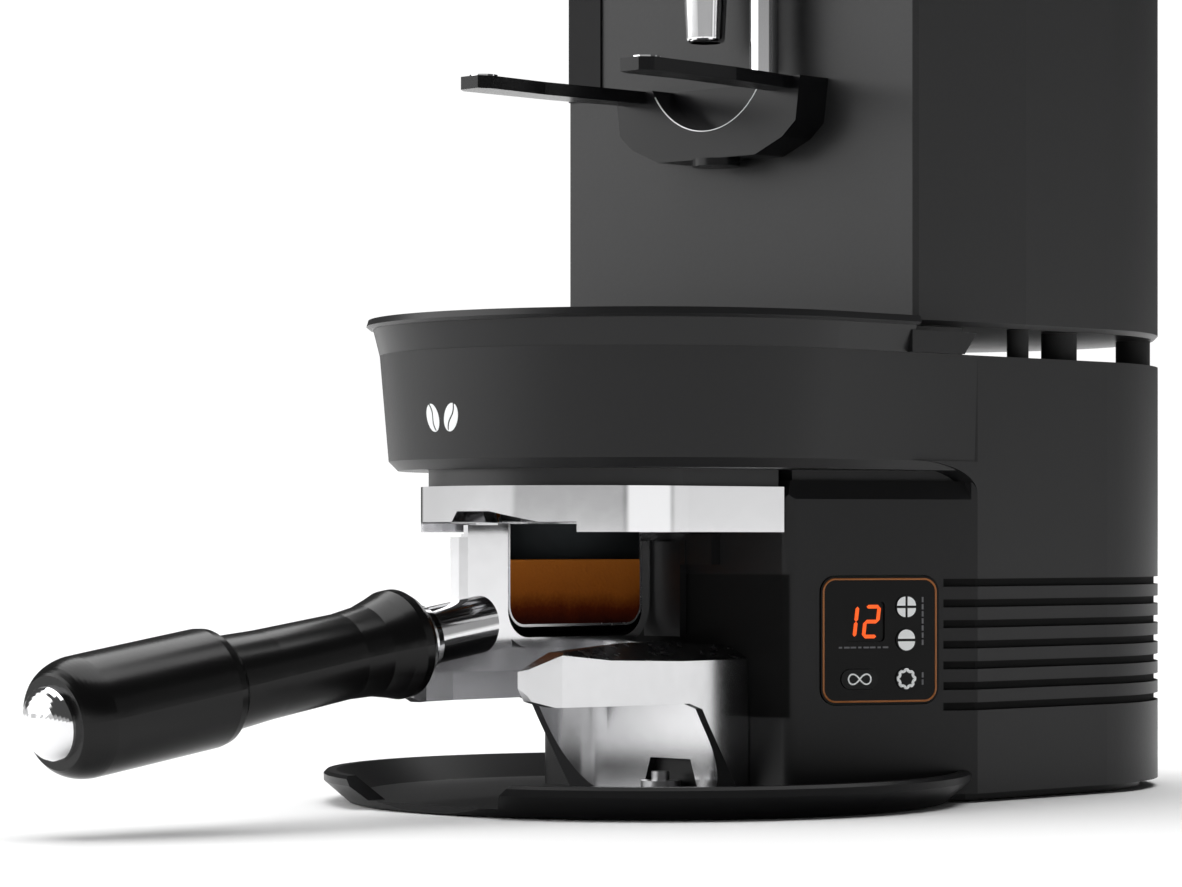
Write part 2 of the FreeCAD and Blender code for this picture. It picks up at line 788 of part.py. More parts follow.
def button(name, up):
    cap_low = panel_proud - panel_thick - 2
    cap_high = panel_proud + button_proud
    if name == "button_loop":
        cap = slant_block(loop_along, up, 4 * loop_half, 2 * loop_half, loop_half - 0.01,
                          cap_low, cap_high)
    else:
        cap = slant_disc(button_along, up, button_r, cap_low, cap_high)
    save(name, cap)


def electrics():
    board_out = panel_proud - panel_thick - 4
    board = slant_block(panel_along, panel_up, panel_size - 2, panel_size + 8, 2,
                        board_out - 1.6, board_out)
    save("control_board", board)
    save("display_module", slant_block(display_along, display_up, display_wide - 1,
                                       display_high - 1, 1, board_out, panel_proud - panel_thick))
    floor = case_bottom + 2
    supply_board = box(-40, 40, rear_centre - 10, rear_centre + 50, floor + 6, floor + 8)
    spacers = [cylinder(x, y, floor, floor + 6, 3) for x in (-34, 34)
               for y in (rear_centre - 4, rear_centre + 44)]
    save("power_supply", [fuse([supply_board] + spacers)])
    parts = [box(-30, 0, rear_centre, rear_centre + 30, floor + 8, floor + 36),
             box(8, 30, rear_centre + 4, rear_centre + 34, floor + 8, floor + 26)]
    save("supply_components", parts)
    stand = box(-24, 24, gear_places()[1] - 24, gear_places()[1] + 24, floor, 44)
    stand = stand.cut(cylinder(0, gear_places()[1], floor - 1, 50, 18))
    save("motor_stand", stand)


def rear_y(x):
    return rear_centre + math.sqrt(case_half ** 2 - x ** 2)


def inlet_block(grow):
    back = rear_y(28)
    return box(14 - grow, 42 + grow, back - 14, back + 12, 22 - grow, 42 + grow)


def switch_block(grow):
    back = rear_y(28)
    return box(-36 - grow, -20 + grow, back - 14, back + 12, 22 - grow, 42 + grow)


def rear_fittings():
    """Mains inlet and power switch, set in the round back."""
    back = rear_y(42)
    inlet = box(14, 42, back - 12, back + 5, 22, 42)
    inlet = inlet.cut(box(17, 39, back - 6, back + 8, 25, 39))
    pins = [box(x - 1.5, x + 1.5, back - 8, back + 2, 30, 34) for x in (21, 28, 35)]
    save("mains_inlet", fuse([inlet] + pins))
    back = rear_y(36)
    frame = box(-36, -20, back - 12, back + 4, 22, 42)
    frame = frame.cut(box(-34, -22, back - 8, back + 8, 24, 40))
    hinge_y = back + 1
    pin = rod_between(vec(-35, hinge_y, 32), vec(-21, hinge_y, 32), 1.0)
    save("switch_frame", fuse([frame, pin]))
    profile = [(hinge_y - 4, 29), (hinge_y + 1.5, 26), (hinge_y + 4.2, 25.4), (hinge_y + 2.6, 32),
               (hinge_y + 4.2, 38.6), (hinge_y + 1.5, 38), (hinge_y - 4, 35)]
    rocker = side_prism(profile, -33.6, -22.4)
    rocker = rocker.cut(rod_between(vec(-40, hinge_y, 32), vec(-10, hinge_y, 32), 1.0 + fit_gap))
    save("power_rocker", rocker)


# ---------------------------------------------------------------- grinder
def tower_wire(inset, z):
    """Tower in plan: flat front, sides easing out to the casing's width, round back."""
    r = case_half - inset
    fy = tower_front + inset
    fx = tower_front_half - inset
    corner = 1.5
    points = [vec(-fx + corner, fy, z), vec(fx - corner, fy, z), vec(fx, fy + corner, z),
              vec(r, slant_end + 25, z), vec(r, rear_centre, z)]
    mirrored = [vec(-p.x, p.y, z) for p in points]
    edges = [Part.makeLine(points[0], points[1]), Part.makeLine(points[1], points[2]),
             Part.makeLine(points[2], points[3]), Part.makeLine(points[3], points[4]),
             Part.Arc(points[4], vec(0, rear_centre + r, z), mirrored[4]).toShape(),
             Part.makeLine(mirrored[4], mirrored[3]), Part.makeLine(mirrored[3], mirrored[2]),
             Part.makeLine(mirrored[2], points[0])]
    return Part.Wire(edges)


def tower_prism(inset, z0, z1):
    return Part.Face(tower_wire(inset, z0)).extrude(vec(0, 0, z1 - z0))


def tower_shell():
    edge = 1.5
    outer = fuse([loft(tower_wire(edge, tower_low), tower_wire(0, tower_low + edge)),
                  tower_prism(0, tower_low + edge, tower_high - 4),
                  loft(tower_wire(0, tower_high - 4), tower_wire(4, tower_high))])
    inner = tower_prism(tower_wall, tower_low + 4, tower_high - tower_wall)
    shell = outer.cut(inner)
    shell = shell.cut(cylinder(0, rear_centre, tower_low - 1, tower_low + 5, 15))
    shell = shell.cut(cylinder(0, burr_y, tower_high - 10, tower_high + 1, 46))
    shell = shell.cut(spout_tunnel(run_gap))
    return shell


def spout_tunnel(grow):
    half = channel_half + grow
    return box(-half, half, tower_front - 5, tower_front + 20, channel_low - grow,
               channel_high + grow)


def plinth():
    """The block between casing and tower; behind it the gap is open."""
    body = tower_prism(plinth_inset, case_top, tower_low)
    body = body.common(prism([(-plinth_reach, 0), (plinth_reach, 0), (0, plinth_reach)],
                             case_top, tower_low))
    return body.cut(cylinder(0, rear_centre, case_top - 1, tower_low + 1, 15))


def tower_feet():
    feet = []
    for x, y, r in ((74.0, 156.0, 6.0), (56.0, rear_centre + 52, 6.0), (78.0, gap_foot_y, 3.6)):
        feet += both_sides(cylinder(x, y, case_top, tower_low, r))
    return feet


def fork():
    """The portafilter fork: a trough against the tower and two long prongs."""
    face = tower_front
    tip_y = face - prong_length
    half = prong_thick / 2
    shapes = []
    for side in (-1, 1):
        x = side * fork_half
        inner = x - side * prong_wide
        plan = [(x, tip_y + 4), (x - side * 3, tip_y), (inner + side * 2, tip_y),
                (inner, tip_y + 5), (inner + side * 1, tip_y + 30),
                (inner - side * 2, face - 14), (inner - side * 4, face),
                (x - side * 7, face), (x - side * 5, face - 14), (x - side, face - 45)]
        shapes.append(prism(plan, fork_z - half, fork_z + half))
    low = fork_z - fork_depth
    front = [(-42, fork_z + half), (-40, low + 10), (-34, low + 5), (-22, low), (22, low),
             (34, low + 5), (40, low + 10), (42, fork_z + half)]
    face_block = polygon([vec(x, face - 14, z) for x, z in front])
    shapes.append(face_block.extrude(vec(0, 14, 0)))
    body = fuse(shapes)
    centre_z = fork_z - trough_low + trough_r
    trough = rod_between(vec(0, face - 90, centre_z), vec(0, face - 4, centre_z), trough_r)
    body = body.cut(trough)
    for x, y in fork_tip_places():
        body = body.cut(cylinder(x, y, fork_z, fork_z + 10, 4.6))
    return body


def fork_tip_places():
    y = tower_front - prong_length + 7
    x = fork_half - prong_wide / 2
    return [(-x, y), (x, y)]


def fork_tips():
    tips = []
    for x, y in fork_tip_places():
        pad = cylinder(x, y, fork_z, fork_z + prong_thick / 2 + 0.8, 4.6)
        tips.append(pad.cut(cylinder(x, y, fork_z + 1, fork_z + 10, 1.2)))
    return tips


def fork_knob():
    """The clamp screw under the trough."""
    top = fork_z - fork_depth
    return cylinder(0, tower_front - knob_r - 1, top - knob_high, top, knob_r)


def spout():
    """The grounds spout, with its channel back to the burrs."""
    bore = spout_r - spout_wall
    rounded = arc_points(spout_r - 1.4, spout_low + 1.4, 1.4, -90, 0, 5)
    nozzle = round_z([(bore, spout_low)] + rounded + [(spout_r + 1.5, channel_low + 4),
                      (spout_r + 1.5, channel_high), (bore, channel_high)], 0, spout_y)
    channel = box(-channel_half, channel_half, spout_y, tower_front + 16, channel_low,
                  channel_high)
    inside = channel_half - 4
    channel = channel.cut(box(-inside, inside, spout_y + spout_r + 3, tower_front + 12,
                              channel_low + 4, channel_high - 4))
    channel = channel.cut(box(-bore + 0.5, bore - 0.5, spout_y, spout_y + spout_r + 4,
                              channel_low + 8, channel_high - 6))
    body = fuse([nozzle, channel])
    return body.cut(cylinder(0, spout_y, spout_low - 1, channel_high - 6, bore))


def guide_post():
    """The bright post beside the spout, with a shoe on the tower's face."""
    y = tower_front - 11
    low = fork_z + prong_thick / 2 + 0.8
    post = cylinder(post_x, y, low, low + 84, post_r)
    shoe = box(post_x - 6, post_x + 6, y, tower_front, low + 70, low + 80)
    return post.fuse(shoe)


def tower_trim():
    """Dark strip up the tower's left front edge, and the rail beside the spout."""
    strip = box(-tower_front_half + 1.5, -tower_front_half + 17, tower_front - 0.8, tower_front,
                rail_low - 4, tower_high - 6)
    rail = box(channel_half + 1, channel_half + 5, tower_front - 5, tower_front, rail_low,
               rail_high)
    return [strip, rail]


def burrs():
    low = 300.0
    carrier = cylinder(0, burr_y, low, low + 8, 32)
    teeth = [prism([(30 * math.cos(a), burr_y + 30 * math.sin(a)),
                    (14 * math.cos(a + 0.5), burr_y + 14 * math.sin(a + 0.5)),
                    (14 * math.cos(a + 0.62), burr_y + 14 * math.sin(a + 0.62)),
                    (30 * math.cos(a + 0.07), burr_y + 30 * math.sin(a + 0.07))],
                   low + 8, low + 9.5)
             for a in [math.radians(30 * i) for i in range(12)]]
    shaft = cylinder(0, burr_y, 262, low, 6)
    save("lower_burr", fuse([carrier] + teeth))
    save("burr_shaft", shaft)
    upper = cylinder(0, burr_y, low + 10, low + 20, 32)
    upper = upper.cut(cylinder(0, burr_y, low, low + 30, 13))
    save("upper_burr", upper)
    chamber = tube(0, burr_y, low - 6, low + 20, 40, 34)
    chamber = chamber.cut(box(-8, 8, tower_front, burr_y - 30, low - 20, low))
    base = tube(0, burr_y, low - 10, low - 6, 78, 6 + run_gap)
    base = base.common(tower_prism(tower_wall, low - 10, low - 6))
    base = base.cut(box(-channel_half - seat_gap, channel_half + seat_gap, 0,
                        tower_front + 17, 270, 310))
    save("burr_chamber", fuse([chamber, base]))
    save("grinder_motor", cylinder(0, burr_y, tower_low + 4, 262 - run_gap, 48).cut(
        cylinder(0, burr_y, 256, 280, 6 + run_gap)))


def collar():
    """The grind-setting collar on the tower's top, ribbed round its edge."""
    outer_r = 56.0
    ring = tube(0, burr_y, tower_high + 0.3, hopper_low - 0.3, outer_r, 45)
    for i in range(36):
        a = math.radians(10 * i)
        ring = ring.cut(cylinder(outer_r * math.cos(a), burr_y + outer_r * math.sin(a),
                                 tower_high, hopper_low, 1.2))
    return ring


def throat():
    """The fixed tube that carries hopper and collar, down to the burr chamber."""
    return tube(0, burr_y, 320, hopper_low + 6, 45 - run_gap, 36)


def hopper():
    wall_thick = 2.5
    outer = [(36, hopper_low), (60, hopper_low), (60, hopper_low + 3), (hopper_low_r + 3, hopper_low + 8),
             (hopper_high_r, hopper_high - 30), (hopper_high_r, hopper_high),
             (hopper_high_r - wall_thick, hopper_high), (hopper_high_r - wall_thick, hopper_high - 30),
             (hopper_low_r, hopper_low + 10), (30, hopper_low + 7), (30, hopper_low + 6.3),
             (36, hopper_low + 6.3)]
    shape = round_z(outer, 0, burr_y)
    shape = shape.cut(cylinder(0, burr_y, hopper_low - 1, hopper_low + 6.3, 45))
    return shape


def lid():
    r = hopper_high_r
    cap = round_z([(0, hopper_high + 0.3), (r + 1.5, hopper_high + 0.3), (r + 1.5, hopper_high + 4),
                   (r - 6, hopper_high + 8), (0, hopper_high + 10)], 0, burr_y)
    knob = cylinder(0, burr_y, hopper_high + 9, hopper_high + 20, 9)
    return cap.fuse(knob)


# ---------------------------------------------------------------- build
save("housing", housing())
save("base_plate", base_plate())
save("rubber_feet", rubber_feet())
save("collecting_tray", tray())
save("neck_ring", neck_ring())
save("guide_ring", guide_ring())
stop_parts, stop_pin = rear_stop()
save("rear_stop", stop_parts)
save("lever_pin", stop_pin)
save("sensor_lever", sensor_lever())
save("support_bracket", support_bracket())
save("bracket_screw", bracket_screw())
save("portafilter_bowl", bowl())
save("basket", basket())
save("coffee_puck", puck())
save("ferrule", ferrule())
save("grip", grip())
save("grip_end_cap", end_cap())
save("tie_rod", tie_rod())
save("piston", piston())
save("piston_rod", piston_rod())
drive()
save("control_panel", panel())
for button_name, button_up in (("button_plus", plus_up), ("button_minus", minus_up),
                               ("button_settings", gear_up), ("button_loop", gear_up)):
    button(button_name, button_up)
electrics()
rear_fittings()
save("tower_shell", tower_shell())
save("tower_plinth", plinth())
save("tower_feet", tower_feet())
save("fork", fork())
save("fork_tips", fork_tips())
save("fork_knob", fork_knob())
save("spout", spout())
save("guide_post", guide_post())
save("tower_trim", tower_trim())
burrs()
save("grind_collar", collar())
save("throat", throat())
save("hopper", hopper())
save("hopper_lid", lid())
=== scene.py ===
# %% [markdown]
# # A coffee tamper under its grinder
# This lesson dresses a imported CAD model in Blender. The black lower unit presses ground coffee
# in a portafilter, and a grinder tower stands on it. The portafilter is a cut-away show model,
# so its basket and its coffee are seen in section.
#
# The CAD model is the frame: its pieces keep their places and sizes. Here they get finishes,
# small printed and lit details, and a studio.

# %% Load the fixed frame
import math

import bpy
import numpy as np
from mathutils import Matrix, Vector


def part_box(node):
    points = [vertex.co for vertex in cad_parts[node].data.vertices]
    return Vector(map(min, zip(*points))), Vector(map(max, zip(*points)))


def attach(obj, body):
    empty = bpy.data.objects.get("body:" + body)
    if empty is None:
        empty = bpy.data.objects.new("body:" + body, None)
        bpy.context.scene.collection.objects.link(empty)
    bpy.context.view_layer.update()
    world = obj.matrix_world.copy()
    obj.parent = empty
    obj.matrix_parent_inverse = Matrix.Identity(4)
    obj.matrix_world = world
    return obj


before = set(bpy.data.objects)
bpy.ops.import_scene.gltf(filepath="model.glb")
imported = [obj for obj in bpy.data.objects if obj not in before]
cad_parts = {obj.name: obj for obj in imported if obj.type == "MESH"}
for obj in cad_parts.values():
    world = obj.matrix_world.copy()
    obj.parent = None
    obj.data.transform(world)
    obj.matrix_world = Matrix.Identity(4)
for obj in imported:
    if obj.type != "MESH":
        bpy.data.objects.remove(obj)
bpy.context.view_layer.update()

scene = bpy.context.scene
MM = 0.001

# %% [markdown]
# ## The casing in plan
# Seen from above, the lower unit's casing has straight sides, a half-round back and a slanted
# face at each front corner. The control panel lies on one slanted face, and the grooves run
# round the back, so both the panel's details and the grooves' finish need these few sizes.

# %% Plan of the casing
CASE_HALF = 84.7 * MM       # half the width between the straight sides
REAR_CENTRE = 168.5 * MM    # centre of the half-round back
SLANT_X = 56.0 * MM         # where the slanted face leaves the front
SLANT_Y = 40.0 * MM
SLANT_ACROSS = 28.7 * MM    # how far it runs sideways and back
SLANT_BACK = 60.0 * MM
slant = math.atan2(SLANT_BACK, SLANT_ACROSS)
print("slanted face turned", round(math.degrees(slant), 1), "degrees from the front")

# %% [markdown]
# ## Shader maths as expressions
# A material's pattern is arithmetic on node outputs. `Wire` wraps one output and overloads the
# operators, so that a line such as `0.4 + 0.1 * grain` adds the Math nodes by itself.


# %% A wire that can be added and multiplied
class Wire:
    """One node output. Arithmetic on it adds Math nodes to the same tree."""

    def __init__(self, finish, socket):
        self.finish = finish
        self.socket = socket

    def _math(self, operation, first, second):
        return self.finish.node("ShaderNodeMath", {"operation": operation}, {0: first, 1: second})

    def __add__(self, other):
        return self._math("ADD", self, other)

    def __radd__(self, other):
        return self._math("ADD", other, self)

    def __sub__(self, other):
        return self._math("SUBTRACT", self, other)

    def __rsub__(self, other):
        return self._math("SUBTRACT", other, self)

    def __mul__(self, other):
        return self._math("MULTIPLY", self, other)

    def __rmul__(self, other):
        return self._math("MULTIPLY", other, self)

    def __truediv__(self, other):
        return self._math("DIVIDE", self, other)

    def __pow__(self, other):
        return self._math("POWER", self, other)

    def at_least(self, other):
        return self._math("MAXIMUM", self, other)

    def at_most(self, other):
        return self._math("MINIMUM", self, other)


# %% [markdown]
# ## A tree of nodes
# The sky and every material are node trees. `Shading` owns one tree and has one method, `node`,
# for every kind of node. `ease` and `window` are two shapes that the sky and the finishes share.


# %% A node tree
class Shading:
    """A node tree that is filled through one method."""

    def __init__(self, tree):
        self.tree = tree

    def node(self, kind, settings=None, inputs=None, output=0):
        """Adds a node: its settings first, then the values or wires of its sockets."""
        made = self.tree.nodes.new(kind)
        for key, value in (settings or {}).items():
            if key == "stops":
                ramp = made.color_ramp
                while len(ramp.elements) < len(value):
                    ramp.elements.new(0.5)
                for element, (place, color) in zip(ramp.elements, value):
                    element.position = place
                    element.color = (*color, 1.0)
            else:
                setattr(made, key, value)
        for key, value in (inputs or {}).items():
            if isinstance(value, Wire):
                self.tree.links.new(value.socket, made.inputs[key])
            else:
                made.inputs[key].default_value = value
        return Wire(self, made.outputs[output])

    def ease(self, value, low, high):
        """0 below low, 1 above high and smooth between them."""
        return self.node("ShaderNodeMapRange", {"interpolation_type": "SMOOTHSTEP"},
                         {"Value": value, "From Min": low, "From Max": high})

    def window(self, value, low, high, soft):
        """1 from low to high, easing to 0 over the distance soft outside them."""
        return self.ease(value, low - soft, low) * (1.0 - self.ease(value, high, high + soft))


# %% [markdown]
# ## A finish
# A finish is a Principled shader with its name, colour, roughness and metallic value. What varies
# over the surface is a wire, and what doesn't is a plain number on the shader's own socket.


# %% A material
class Finish(Shading):
    """A Principled material. Numbers that never vary are set on the shader's own sockets."""

    def __init__(self, name, color, roughness, metallic=0.0, **uniform):
        self.material = bpy.data.materials.new(name)
        self.material.use_nodes = True
        super().__init__(self.material.node_tree)
        self.shader = self.tree.nodes["Principled BSDF"]
        self.set("Base Color", (*color, 1.0))
        self.set("Roughness", roughness)
        self.set("Metallic", metallic)
        for key, value in uniform.items():
            self.set(key.replace("_", " "), value)
        self.material.diffuse_color = (*color, 1.0)

    def set(self, name, value):
        """Sets one of the shader's sockets, to a number, a colour or a wire."""
        if isinstance(value, Wire):
            self.tree.links.new(value.socket, self.shader.inputs[name])
        else:
            self.shader.inputs[name].default_value = value

    def place(self, scale=(1.0, 1.0, 1.0)):
        """Object coordinates, stretched by scale."""
        spot = self.node("ShaderNodeTexCoord", output="Object")
        return self.node("ShaderNodeMapping", inputs={"Vector": spot, "Scale": scale})

    def noise(self, size, detail=2.0, stretch=(1.0, 1.0, 1.0)):
        """Noise with bumps about `size` metres across."""
        return self.node("ShaderNodeTexNoise", {"noise_dimensions": "3D"},
                         {"Vector": self.place(stretch), "Scale": 1.0 / size, "Detail": detail})

    def bump(self, height, depth, strength=1.0):
        """Feeds a height pattern into the shader's normal; depth is in metres."""
        bumped = self.node("ShaderNodeBump", inputs={"Height": height, "Distance": depth,
                                                     "Strength": strength})
        self.set("Normal", bumped)

    def blend(self, mask, first, second):
        """A colour between first and second, which are colours or wires."""
        first, second = (value if isinstance(value, Wire) else (*value, 1.0)
                         for value in (first, second))
        return self.node("ShaderNodeMix", {"data_type": "RGBA"},
                         {"Factor": mask, "A": first, "B": second}, "Result")

    def axes(self, names="XYZ"):
        """The named axes of the Object coordinates, one wire each."""
        spot = self.node("ShaderNodeTexCoord", output="Object")
        return [self.node("ShaderNodeSeparateXYZ", inputs={0: spot}, output=axis)
                for axis in names]


# %% [markdown]
# ## Black finishes
# The casing is aluminium under a fine matt powder coat. A powder coat is never perfectly
# even: its gloss drifts over a few centimetres, and a fine orange peel breaks highlights up.
# Both come from noise on Object coordinates, so that they stay with the piece. The floors of the
# casing's grooves get almost no light on the real unit, so they are toned darker: the mask works
# out how far a point lies below the casing's outer surface.

# %% Heights and depths of the grooves
GROOVES_LOW = 29 * MM
GROOVES_HIGH = 74 * MM
RIB_DEPTH = 0.3 * MM       # less than this below the surface is a rib
FLOOR_DEPTH = 0.9 * MM     # more than this below the surface is a groove's floor
GROOVE_PAINTED_SHADE = (0.001, 0.001, 0.001)


# %% Powder coat
def groove_mask(coat):
    """1 on the floors of the grooves: the depth below the nearer outer surface, eased."""
    x, y, z = coat.axes()
    x = coat.node("ShaderNodeMath", {"operation": "ABSOLUTE"}, {0: x})
    behind = (y - REAR_CENTRE).at_least(0.0)
    from_side = CASE_HALF - (x * x + behind * behind) ** 0.5
    slant_x = SLANT_X + SLANT_ACROSS / SLANT_BACK * (y - SLANT_Y)
    from_slant = (slant_x - x) * math.sin(slant)
    depth = from_side.at_most(from_slant)
    floors = coat.ease(depth, RIB_DEPTH, FLOOR_DEPTH)
    return floors * coat.window(z, GROOVES_LOW, GROOVES_HIGH, 1 * MM)


def powder_coat(name, color, roughness, grooved=False, shine=0.30):
    """Matt black coat: drifting gloss, speckled colour, fine peel, and painted shade on the groove
    floors.
    """
    coat = Finish(name, color, roughness, Specular_IOR_Level=shine)
    drift = coat.noise(0.07, 2.0)
    speckle = coat.noise(0.0011, 3.0)
    rough = roughness - 0.05 + 0.07 * drift + 0.05 * speckle
    darker = tuple(0.86 * c for c in color)
    lighter = tuple(1.14 * c for c in color)
    shade = coat.blend(speckle, darker, lighter)
    if grooved:
        floors = groove_mask(coat)
        # painted shade: the groove floors are darkened towards black
        shade = coat.blend(0.85 * floors, shade, GROOVE_PAINTED_SHADE)
        rough = rough + 0.5 * floors
    coat.set("Roughness", rough)
    coat.set("Base Color", shade)
    coat.bump(coat.noise(0.0016, 4.0), 0.00006, 0.35)
    return coat.material


# %% [markdown]
# ## Mouldings and rubber
# The tray, the fork and the small covers are moulded plastic. A moulding is smoother than the
# coat, with a finer grain, and only its gloss and its grain change from piece to piece.


# %% Mouldings, rubber and all the black finishes
def moulding(name, color, roughness, grain=0.0006, depth=0.00003, shine=0.45):
    """Plain black plastic: gloss that drifts a little, and a grain of the given size and depth."""
    skin = Finish(name, color, roughness, Specular_IOR_Level=shine)
    skin.set("Roughness", roughness - 0.04 + 0.08 * skin.noise(0.03, 2.0))
    skin.bump(skin.noise(grain, 3.0), depth, 0.4)
    return skin.material


casing_black = powder_coat("casing_powder_coat", (0.011, 0.011, 0.0115), 0.38, True)
tower_black = powder_coat("tower_powder_coat", (0.020, 0.020, 0.0205), 0.36)
tray_black = moulding("tray_moulding", (0.011, 0.011, 0.0115), 0.34, shine=0.30)
plain_black = moulding("plain_black_moulding", (0.007, 0.007, 0.0075), 0.40)
fork_black = moulding("fork_moulding", (0.004, 0.004, 0.0045), 0.25, shine=0.25)
trim_black = moulding("trim_moulding", (0.005, 0.005, 0.0055), 0.55, shine=0.15)
dish_black = powder_coat("dish_powder_coat", (0.006, 0.006, 0.0065), 0.32, shine=0.13)
foot_rubber = moulding("foot_rubber", (0.012, 0.012, 0.012), 0.8, 0.0012, 0.00008)
print("black finishes:", len(bpy.data.materials))

# %% [markdown]
# ## Bright metals
# Chrome plate is a mirror with a faint waviness from its polishing, and fine buffing lines run
# one way. Turned steel, the plated bowl and gear brass are the same recipe with other numbers.


# %% Chrome, plate, steel and brass
def bright_metal(name, color, roughness, wave=0.018, wave_depth=0.00002, scratch=0.02):
    """Metal whose roughness is swirl plus stretched lines, with slow waves in its normal."""
    metal = Finish(name, color, roughness, 1.0)
    swirl = metal.noise(0.004, 2.0)
    lines = metal.noise(0.0009, 2.0, (1.0, 1.0, 9.0))
    metal.set("Roughness", roughness - 0.02 + 0.03 * swirl + scratch * lines)
    metal.bump(metal.noise(wave, 1.0), wave_depth, 0.5)
    return metal.material


chrome = bright_metal("bright_chrome", (0.83, 0.83, 0.84), 0.07)
bowl_metal = bright_metal("portafilter_plate", (0.76, 0.76, 0.77), 0.11, 0.010, 0.00004)
steel = bright_metal("turned_steel", (0.55, 0.55, 0.56), 0.28, 0.006, 0.00002, 0.08)
brass = bright_metal("gear_brass", (0.66, 0.48, 0.20), 0.30, 0.004, 0.00002, 0.08)
print("metals so far:", chrome.name, bowl_metal.name, steel.name, brass.name)

# %% [markdown]
# ## The stand's casting
# The stand is a polished casting, a softer mirror than chrome. Its top faces mirror the black
# machine above them. In this bright room that mirror alone comes out too pale, so faces that
# look up get a painted dark reflection as well, most on the far arm, and the far arm's sides get a
# little painted shade.

# %% Polished casting
CAST_TOP_PAINTED_DARK = (0.030, 0.030, 0.031)
CAST_NEAR_LIT = (0.72, 0.72, 0.73)
CAST_FAR_SHADED = (0.42, 0.42, 0.43)
casting_finish = Finish("polished_casting", (0.68, 0.68, 0.69), 0.2, 1.0)
x, = casting_finish.axes("X")
facing = casting_finish.node("ShaderNodeNewGeometry", output="Normal")
upward = casting_finish.node("ShaderNodeSeparateXYZ", inputs={0: facing}, output="Z")
# painted reflection of the dark machine on faces that look up, with a real rise in roughness there
dull_and_painted_dark = casting_finish.ease(upward, 0.08, 0.35) * (
    1.0 - 0.45 * casting_finish.ease(x, -5 * MM, 15 * MM))
# painted shade: the far arm is darker than the near arm
far_painted_shade = 1.0 - casting_finish.ease(x, -25 * MM, 25 * MM)
shaded = casting_finish.blend(far_painted_shade, CAST_NEAR_LIT, CAST_FAR_SHADED)
casting_finish.set("Base Color", casting_finish.blend(dull_and_painted_dark, shaded, CAST_TOP_PAINTED_DARK))
casting_finish.set("Roughness", 0.17 + 0.12 * dull_and_painted_dark + 0.06 * casting_finish.noise(0.004))
casting_finish.bump(casting_finish.noise(0.012, 1.0), 0.00003, 0.5)
casting = casting_finish.material
print("casting done")

# %% [markdown]
# ## The basket
# The basket is drawn steel, bright on its cut edge. Over the coffee its inside is in shadow and
# mirrors the black piston, so it is toned dark: inside its wall, and not on the cut face.

# %% Basket steel
WALL = 0.7 * MM
BASKET_STEEL = (0.66, 0.66, 0.67)
BASKET_INSIDE = (0.045, 0.050, 0.053)
basket_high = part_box("basket")[1]
basket_finish = Finish("basket_steel", BASKET_STEEL, 0.24, 1.0)
x, y = basket_finish.axes("XY")
radius = (x * x + y * y) ** 0.5
inner = basket_high[1] - WALL
dark = (1.0 - basket_finish.ease(radius, inner, inner + 0.2 * MM)) * (
    1.0 - basket_finish.ease(x, -0.3 * MM, -0.1 * MM))
basket_finish.set("Base Color", basket_finish.blend(dark, BASKET_STEEL, BASKET_INSIDE))
basket_finish.set("Roughness", 0.22 + 0.3 * dark + 0.08 * basket_finish.noise(0.004))
print("basket inner radius", round(inner / MM, 2), "mm")

# %% [markdown]
# ## Grip, panel and small finishes
# The grip is satin black with a soft sheen. The panel is black with only a faint reflection. Its
# outline is copper-coloured, and the signs on its keys are pale grey. Signs, outline and digits
# give off a little light of their own, as lit print does.

# %% Grip and panel
grip_skin = Finish("grip_satin", (0.003, 0.003, 0.003), 0.26, Specular_IOR_Level=0.26)
grip_skin.set("Roughness", 0.20 + 0.08 * grip_skin.noise(0.02, 3.0))
grip_skin.bump(grip_skin.noise(0.0012, 3.0), 0.00004, 0.35)

panel_gloss = Finish("panel_gloss", (0.004, 0.004, 0.004), 0.3, Specular_IOR_Level=0.16)
panel_gloss.set("Roughness", 0.26 + 0.08 * panel_gloss.noise(0.01, 2.0))
key_skin = Finish("key_skin", (0.006, 0.006, 0.006), 0.35, Specular_IOR_Level=0.2)
key_skin.set("Roughness", 0.32 + 0.08 * key_skin.noise(0.004, 2.0))
outline_copper = Finish("outline_copper", (0.30, 0.10, 0.02), 0.4, 0.0, Emission_Strength=0.08)
outline_copper.set("Emission Color", (0.60, 0.20, 0.04, 1.0))
outline_copper.set("Roughness", 0.32 + 0.12 * outline_copper.noise(0.003, 2.0))
sign_grey = Finish("sign_print", (0.70, 0.71, 0.71), 0.5, Emission_Strength=0.3)
sign_grey.set("Emission Color", (0.62, 0.64, 0.64, 1.0))
sign_grey.set("Roughness", 0.45 + 0.1 * sign_grey.noise(0.001, 2.0))
digit_glow = Finish("digit_glow", (0.1, 0.01, 0.001), 0.4, Emission_Strength=1.3)
glow = digit_glow.noise(0.004, 1.0)
digit_glow.set("Emission Color", digit_glow.blend(glow, (0.80, 0.060, 0.002),
                                                  (0.90, 0.12, 0.006)))
print("panel finishes done")

# %% [markdown]
# ## Pieces that the covers hide
# The circuit boards are green fibreglass with a mottled lacquer. The hopper is smoked clear
# plastic, so it passes light and is slightly brown.

# %% Circuit board and hopper
circuit = Finish("circuit_board", (0.02, 0.12, 0.05), 0.4)
circuit.set("Base Color", circuit.blend(circuit.noise(0.004, 4.0), (0.01, 0.09, 0.03),
                                        (0.03, 0.16, 0.07)))
smoke = Finish("smoked_hopper", (0.30, 0.29, 0.28), 0.08, Transmission_Weight=0.85, IOR=1.49)
smoke.set("Roughness", 0.06 + 0.05 * smoke.noise(0.05, 2.0))
print("materials:", len(bpy.data.materials))
